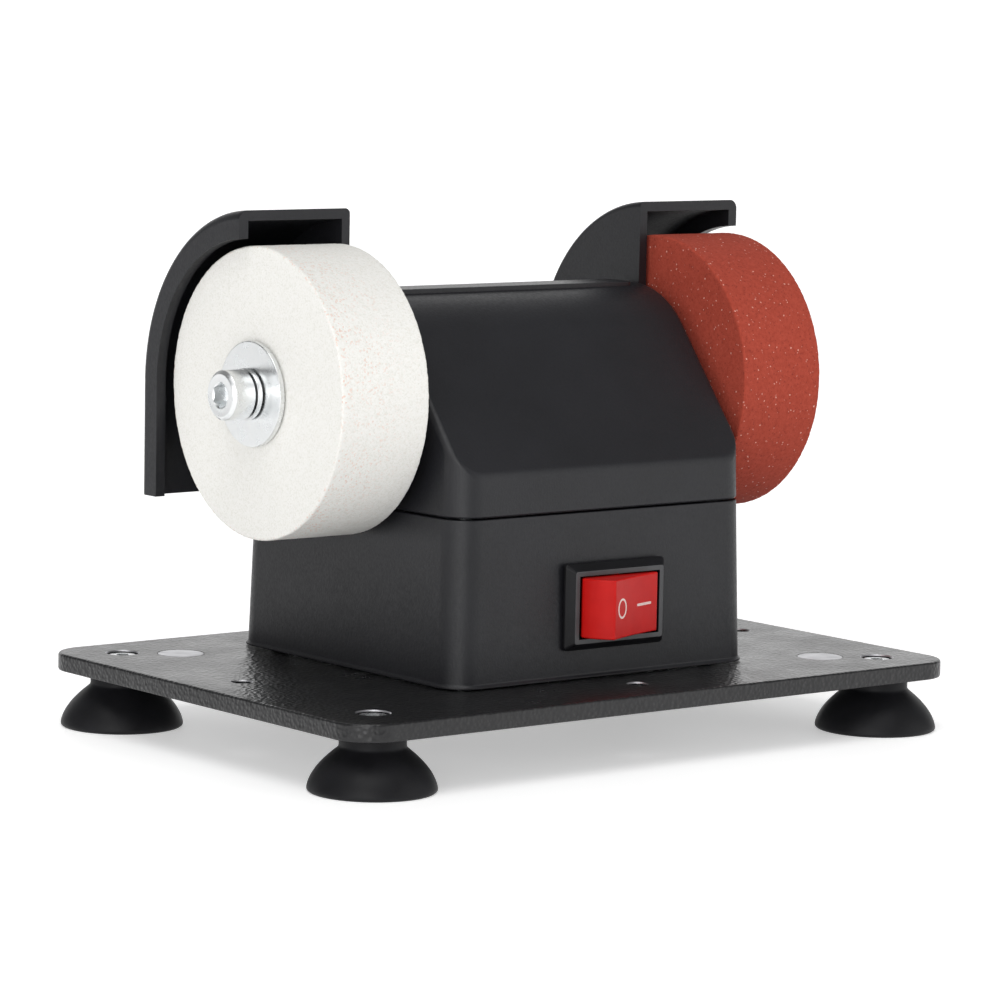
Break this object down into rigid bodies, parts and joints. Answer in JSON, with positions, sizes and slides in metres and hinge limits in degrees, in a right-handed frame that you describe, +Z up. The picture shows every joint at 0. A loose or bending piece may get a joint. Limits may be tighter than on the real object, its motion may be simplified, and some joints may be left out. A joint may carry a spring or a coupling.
{
  "type": "mini bench grinder",
  "caption": "Small bench grinder with twin abrasive wheels on a double-shaft motor, wheel guards, a rocker switch and a base plate on suction-cup feet.",
  "frame": {"origin": "on the bench surface under the middle of the base plate", "axes": "+X along the motor shaft towards the red wheel, -Y towards the switch side, +Z up"},
  "size_m": [0.134, 0.0958, 0.0927],
  "materials": {
    "plate_black": "black powder coat with a pebbled texture, semi-gloss",
    "rubber": "soft black rubber, matte",
    "zinc": "bright zinc plated steel",
    "black_steel": "black oxide screw steel",
    "disc_steel": "plain grey steel, dull",
    "black_plastic": "satin black moulded plastic with a fine grain",
    "motor_steel": "plated motor can",
    "nylon": "natural nylon",
    "brass": "plain brass",
    "ferrite": "dark sintered ferrite",
    "carbon": "carbon brush",
    "steel": "machined steel",
    "copper": "enamelled copper",
    "white_grit": "off-white bonded abrasive, fine open grain",
    "red_grit": "red-brown bonded abrasive with bright grains",
    "switch_black": "glossy black plastic",
    "rocker_red": "glossy red plastic with white marks",
    "wire_red": "red wire insulation",
    "wire_black": "black wire insulation"
  },
  "bodies": {
    "frame": {"base_plate": "plate_black", "suction_cup_front_left": "rubber", "suction_cup_front_right": "rubber", "suction_cup_rear_left": "rubber", "suction_cup_rear_right": "rubber", "foot_screw_front_left": "zinc", "foot_screw_front_right": "zinc", "foot_screw_rear_left": "zinc", "foot_screw_rear_right": "zinc", "case_screw_front_left": "zinc", "case_screw_front_right": "zinc", "case_screw_rear_left": "zinc", "case_screw_rear_right": "zinc", "plate_disc_left": "disc_steel", "plate_disc_right": "disc_steel", "lower_housing": "black_plastic", "upper_housing": "black_plastic", "guard_left": "black_plastic", "guard_right": "black_plastic", "guard_screw_left_lower": "black_steel", "guard_screw_left_upper": "black_steel", "guard_screw_right_lower": "black_steel", "guard_screw_right_upper": "black_steel", "motor_can": "motor_steel", "motor_end_cap": "nylon", "bushing_left": "brass", "bushing_right": "brass", "magnet_front": "ferrite", "magnet_rear": "ferrite", "brush_front": "carbon", "brush_rear": "carbon", "motor_tab_lower": "brass", "motor_tab_upper": "brass", "switch_body": "switch_black", "dc_inlet": "switch_black", "switch_spade_left": "brass", "switch_spade_right": "brass", "inlet_nut": "steel", "lead_inlet_switch": "wire_red", "lead_switch_motor": "wire_red", "lead_inlet_motor": "wire_black"},
    "rotor": {"rotor_core": "steel", "winding_1": "copper", "winding_2": "copper", "winding_3": "copper", "commutator": "copper", "motor_shaft": "steel", "arbor_left": "steel", "arbor_right": "steel", "inner_flange_left": "zinc", "inner_flange_right": "zinc", "grinding_wheel_left": "white_grit", "grinding_wheel_right": "red_grit", "outer_washer_left": "zinc", "outer_washer_right": "zinc", "lock_washer_left": "zinc", "lock_washer_right": "zinc", "wheel_bolt_left": "zinc", "wheel_bolt_right": "zinc"},
    "rocker": {"switch_rocker": "rocker_red"}
  },
  "joints": [
    {"name": "rotor_spin", "type": "hinge", "parent": "frame", "child": "rotor", "pos_m": [0, 0.0016, 0.06175], "axis": [1, 0, 0], "continuous": true},
    {"name": "rocker_tilt", "type": "hinge", "parent": "frame", "child": "rocker", "pos_m": [0.00085, -0.02927, 0.02575], "axis": [0, 0, 1], "range_deg": [-40, 0]}
  ]
}
